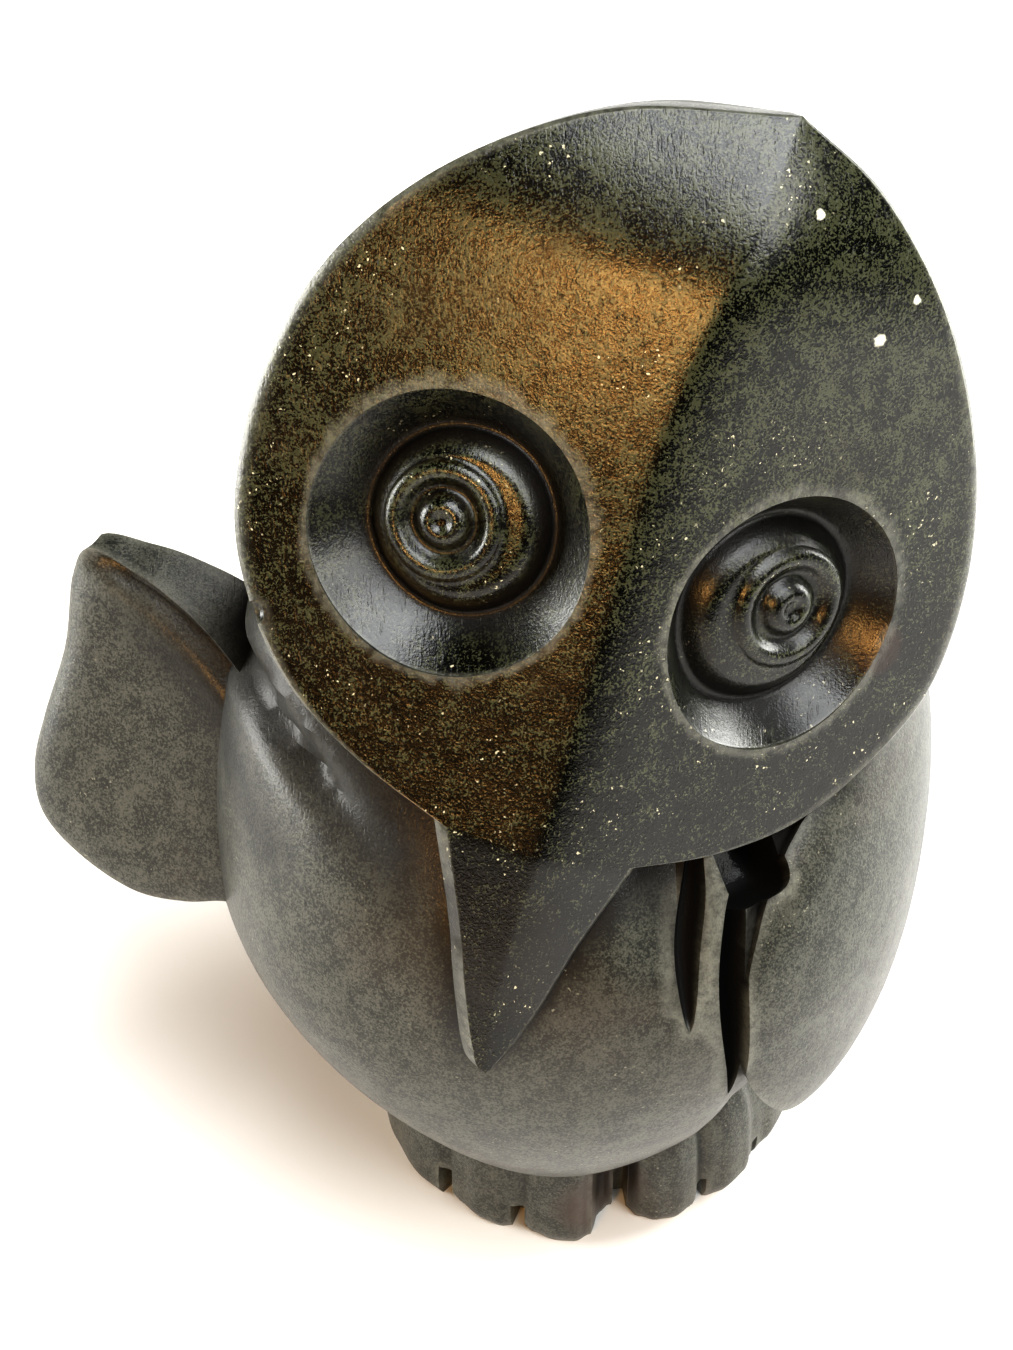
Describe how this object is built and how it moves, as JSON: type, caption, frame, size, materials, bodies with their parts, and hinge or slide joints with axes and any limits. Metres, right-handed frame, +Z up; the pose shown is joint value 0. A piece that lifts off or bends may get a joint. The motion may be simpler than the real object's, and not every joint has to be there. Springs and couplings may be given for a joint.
{
  "type": "soapstone bird carving",
  "caption": "Small stylised owl carved in the round from dark polished soapstone: ridged shield face, ringed eyes, long beak, one wing held out and one folded, standing on its own feet.",
  "frame": {"origin": "middle of the feet's flat underside", "axes": "+Z up, the bird faces -Y, its raised wing points to -X and its folded wing lies on +X"},
  "size_m": [0.0895, 0.0737, 0.1232],
  "materials": {
    "soapstone": "hand-polished and waxed, dark green-black with fine light and brown speckle"
  },
  "bodies": {
    "root": {"soapstone_owl": "soapstone"}
  },
  "joints": []
}
